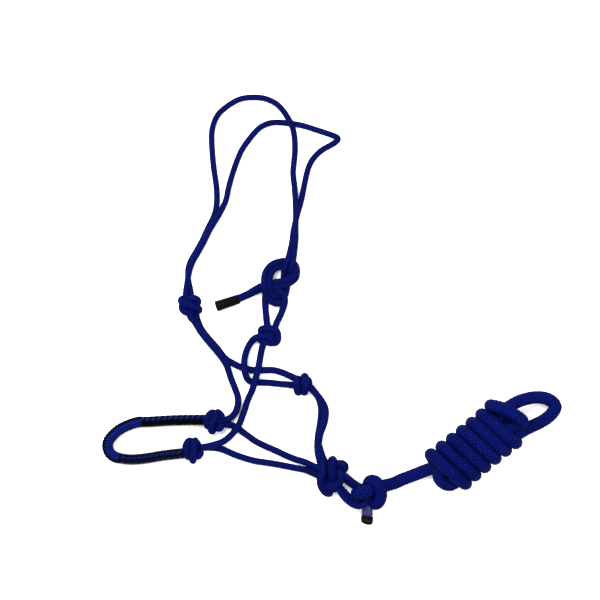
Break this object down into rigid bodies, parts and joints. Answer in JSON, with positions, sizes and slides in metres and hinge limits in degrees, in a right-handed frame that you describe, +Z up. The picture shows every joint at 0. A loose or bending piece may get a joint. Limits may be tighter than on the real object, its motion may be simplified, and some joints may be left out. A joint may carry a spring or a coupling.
{
  "type": "rope halter",
  "caption": "Knotted rope halter with a plaited noseband, tied crown, fiador knot and a wound lead rope, laid flat.",
  "frame": {"origin": "on the surface the halter lies on, under the middle of the halter's own box without the lead", "axes": "+Z up from the surface, +Y towards the crown, +X towards the lead"},
  "size_m": [0.5141, 0.4812, 0.0503],
  "materials": {
    "halter_rope": "braided synthetic cord, fine weave, soft sheen",
    "lead_rope": "braided synthetic rope, coarser diamond weave",
    "noseband_plait": "flat plait of black and bright blue cord",
    "shrink_cap": "black shrink sleeve, slightly wrinkled",
    "clear_sleeve": "clear shrink sleeve, glossy"
  },
  "bodies": {
    "halter": {"tie_hitch": "halter_rope", "tie_loop": "halter_rope", "crown_tail_lower": "halter_rope", "crown_tail_upper": "halter_rope", "crown_end_cap": "shrink_cap", "left_cheek_knot": "halter_rope", "right_cheek_knot": "halter_rope", "cheek_rope_left": "halter_rope", "cheek_rope_right": "halter_rope", "throat_rope_upper": "halter_rope", "throat_rope_lower": "halter_rope", "throat_knot": "halter_rope", "throat_drop_front": "halter_rope", "throat_drop_back": "halter_rope", "nose_knot_upper": "halter_rope", "nose_knot_lower": "halter_rope", "noseband_core_upper": "halter_rope", "noseband_core_lower": "halter_rope", "noseband_plait": "noseband_plait", "chin_rope_upper": "halter_rope", "chin_rope_lower": "halter_rope", "fiador_knot": "halter_rope", "heel_loop_upper": "halter_rope", "heel_loop_lower": "halter_rope"},
    "crown": {"crown_rope_outer": "halter_rope", "crown_rope_inner": "halter_rope"},
    "lead": {"lead_knot": "lead_rope", "lead_run": "lead_rope", "lead_hank": "lead_rope", "lead_end_loop": "lead_rope", "lead_tail": "lead_rope", "lead_tail_sleeve": "clear_sleeve", "lead_end_cap": "shrink_cap"}
  },
  "joints": [
    {"name": "crown_fold", "type": "hinge", "parent": "halter", "child": "crown", "pos_m": [0.0077, 0.0347, 0.0034], "axis": [0.9328, 0.3605, 0], "range_deg": [0, 90]},
    {"name": "lead_swing", "type": "hinge", "parent": "halter", "child": "lead", "pos_m": [0.1495, -0.2135, 0.0162], "axis": [0, -1, 0], "range_deg": [0, 75]}
  ]
}
